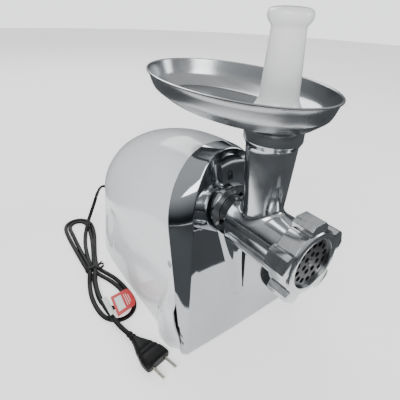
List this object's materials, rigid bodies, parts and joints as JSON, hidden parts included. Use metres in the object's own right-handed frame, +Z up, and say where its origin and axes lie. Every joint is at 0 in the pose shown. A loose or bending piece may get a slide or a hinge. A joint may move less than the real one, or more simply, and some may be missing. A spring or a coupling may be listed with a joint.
{
  "type": "electric meat grinder",
  "caption": "Domed electric meat grinder with a cast auger head, oval feed tray, pusher, gear-driven auger, rocker switch and corded plug.",
  "frame": {"origin": "centre of the machine's footprint on the table, cord left out", "axes": "+X to the right seen from the front, +Y from the front to the back, +Z up"},
  "size_m": [0.2515, 0.4485, 0.3879],
  "materials": {
    "white_abs": "moulded, glossy white",
    "chrome_panel": "vacuum-chromed plastic, mirror bright",
    "grey_abs": "moulded, fine matt grain",
    "screw_steel": "zinc plated",
    "foot_rubber": "matt black",
    "collar_abs": "moulded grey",
    "cast_case": "as cast",
    "bronze": "sintered bronze",
    "gear_steel": "ground",
    "gear_nylon": "moulded natural nylon",
    "laminated_steel": "stacked sheet, lacquered",
    "copper_wire": "enamelled copper",
    "black_plastic": "moulded, matt",
    "carbon": "pressed graphite",
    "cord_pvc": "smooth black PVC",
    "tie_wire": "plastic coated wire",
    "red_tag": "printed plain red card",
    "clear_label": "white paper wrap",
    "plug_pvc": "moulded black PVC",
    "pin_brass": "nickel plated",
    "cast_aluminium": "polished casting",
    "ring_aluminium": "satin polished casting",
    "plate_steel": "ground, dark",
    "tray_steel": "polished pressed sheet",
    "pusher_plastic": "moulded white"
  },
  "bodies": {
    "housing_body": {"housing": "white_abs", "front_panel": "chrome_panel", "base_plate": "grey_abs", "base_screws": "screw_steel", "rubber_feet": "foot_rubber", "inlet_collar": "collar_abs", "collar_screws": "screw_steel", "side_screws": "screw_steel", "gearbox_case": "cast_case", "gearbox_cover": "cast_case", "gearbox_screws": "screw_steel", "output_bush": "bronze", "layshaft_pin": "gear_steel", "motor_bearings": "gear_steel", "motor_stator": "laminated_steel", "field_coils": "copper_wire", "motor_rear_bracket": "black_plastic", "motor_bolts": "screw_steel", "brush_holders": "bronze", "carbon_brushes": "carbon", "switch_frame": "black_plastic", "inner_leads": "cord_pvc", "strain_relief": "cord_pvc", "power_cord": "cord_pvc", "cord_hank": "cord_pvc", "cord_tail": "cord_pvc", "cord_tie": "tie_wire", "cord_tag": "red_tag", "cord_label": "clear_label", "plug_body": "plug_pvc", "plug_pins": "pin_brass"},
    "drive": {"auger": "cast_aluminium", "auger_drive_shaft": "gear_steel", "auger_washer": "gear_nylon", "cross_knife": "plate_steel", "output_gear": "gear_steel"},
    "layshaft": {"cluster_gear": "gear_nylon"},
    "armature": {"motor_shaft": "gear_steel", "motor_pinion": "gear_steel", "armature_core": "laminated_steel", "armature_windings": "copper_wire", "commutator": "copper_wire", "cooling_fan": "black_plastic"},
    "head": {"grinder_head": "cast_aluminium", "cutting_plate": "plate_steel"},
    "ring": {"ring_nut": "ring_aluminium"},
    "tray": {"tray": "tray_steel"},
    "pusher": {"pusher": "pusher_plastic"},
    "rocker": {"rocker_switch": "black_plastic"}
  },
  "joints": [
    {"name": "auger_spin", "type": "hinge", "parent": "housing_body", "child": "drive", "pos_m": [0, -0.09, 0.165], "axis": [0, 1, 0], "continuous": true},
    {"name": "layshaft_spin", "type": "hinge", "parent": "housing_body", "child": "layshaft", "pos_m": [0, -0.03, 0.113], "axis": [0, 1, 0], "continuous": true},
    {"name": "armature_spin", "type": "hinge", "parent": "housing_body", "child": "armature", "pos_m": [0, 0.03, 0.073], "axis": [0, 1, 0], "continuous": true},
    {"name": "head_unlock", "type": "hinge", "parent": "housing_body", "child": "head", "pos_m": [0, -0.06, 0.165], "axis": [0, 1, 0], "range_deg": [0, 45]},
    {"name": "ring_turn", "type": "hinge", "parent": "head", "child": "ring", "pos_m": [0, -0.17, 0.165], "axis": [0, -1, 0], "range_deg": [0, 360]},
    {"name": "tray_lift", "type": "slide", "parent": "head", "child": "tray", "axis": [0, 0, 1], "range_m": [0, 0.04]},
    {"name": "pusher_slide", "type": "slide", "parent": "tray", "child": "pusher", "axis": [0, 0, 1], "range_m": [0, 0.09]},
    {"name": "rocker_tilt", "type": "hinge", "parent": "housing_body", "child": "rocker", "pos_m": [0.0806, 0.0455, 0.1028], "axis": [-0.0767, 0, 0.9971], "range_deg": [-12, 12]}
  ],
  "couplings": [
    {"joint": "layshaft_spin", "follows": "auger_spin", "ratio": -4.2},
    {"joint": "armature_spin", "follows": "auger_spin", "ratio": 29.4}
  ]
}
